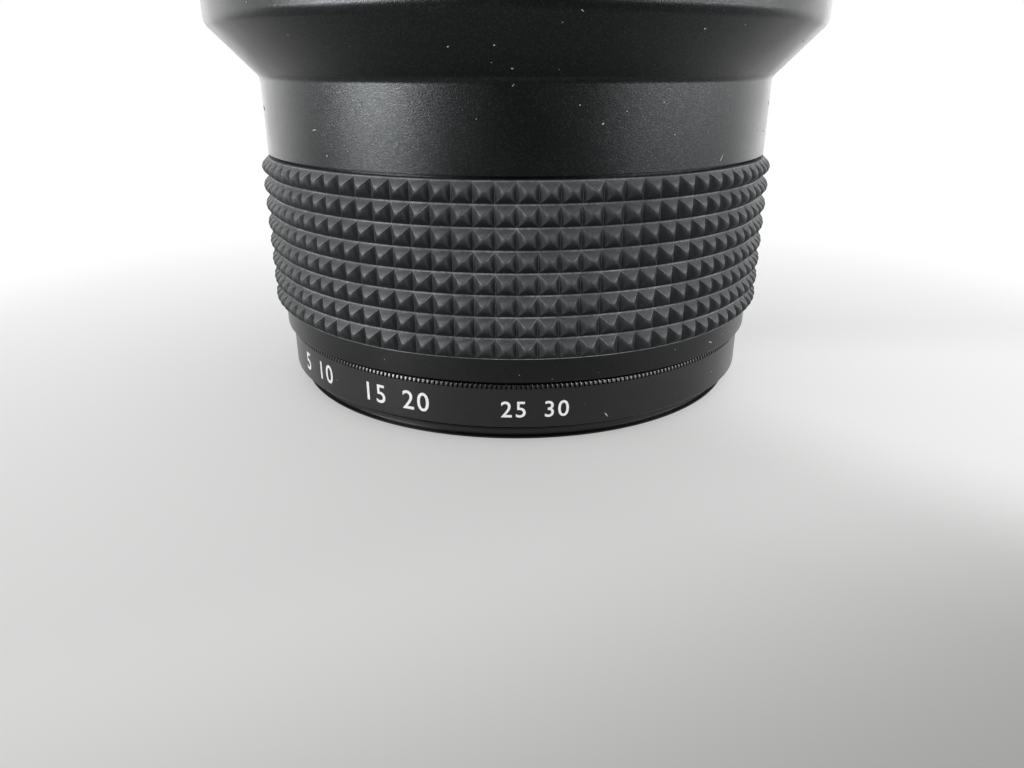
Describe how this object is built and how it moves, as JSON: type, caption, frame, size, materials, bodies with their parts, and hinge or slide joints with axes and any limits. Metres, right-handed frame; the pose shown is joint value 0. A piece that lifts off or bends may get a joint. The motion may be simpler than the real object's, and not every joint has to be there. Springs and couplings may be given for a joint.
{
  "type": "wide-angle conversion lens",
  "caption": "Screw-in wide-angle conversion lens with a flared barrel, domed front glass and studded rubber grip, standing on the screw-in filter fitted to its rear thread.",
  "frame": {"origin": "on the optical axis, in the plane that the filter's threaded foot rests on", "axes": "+Z along the optical axis, from the camera side towards the front glass"},
  "size_m": [0.065, 0.065, 0.0493],
  "materials": {
    "satin_black_metal": "anodised satin black, very fine grain",
    "filter_black_metal": "anodised smooth satin black with white numbers",
    "matt_black_metal": "anodised matt black",
    "grip_rubber": "moulded dark blue-grey rubber",
    "coated_glass": "polished, with a coating that reflects blue-green",
    "filter_glass": "polished, clear",
    "black_film": "thin black film",
    "brass": "rolled shim",
    "steel": "blackened steel"
  },
  "bodies": {
    "converter": {"main_barrel": "satin_black_metal", "front_ring": "satin_black_metal", "front_retaining_ring": "matt_black_metal", "front_element": "coated_glass", "front_shim": "black_film", "second_retaining_ring": "matt_black_metal", "second_element": "coated_glass", "light_baffle": "matt_black_metal", "rear_cell": "matt_black_metal", "rear_positive_element": "coated_glass", "rear_negative_element": "coated_glass", "rear_retaining_ring": "matt_black_metal", "rear_shim": "brass", "rear_mount_ring": "satin_black_metal", "mount_set_screws": "steel", "rubber_grip": "grip_rubber"},
    "filter_pane": {"filter_glass": "filter_glass"},
    "filter_frame": {"filter_ring": "filter_black_metal", "filter_retaining_ring": "matt_black_metal"}
  },
  "joints": [
    {"name": "filter_travel", "type": "slide", "parent": "converter", "child": "filter_pane", "axis": [0, 0, -1], "range_m": [0, 0.00263]},
    {"name": "filter_turn", "type": "hinge", "parent": "filter_pane", "child": "filter_frame", "pos_m": [0, 0, 0], "axis": [0, 0, -1], "range_deg": [0, 1260]}
  ],
  "couplings": [
    {"joint": "filter_turn", "follows": "filter_travel", "rad_per_m": 8377.6}
  ]
}
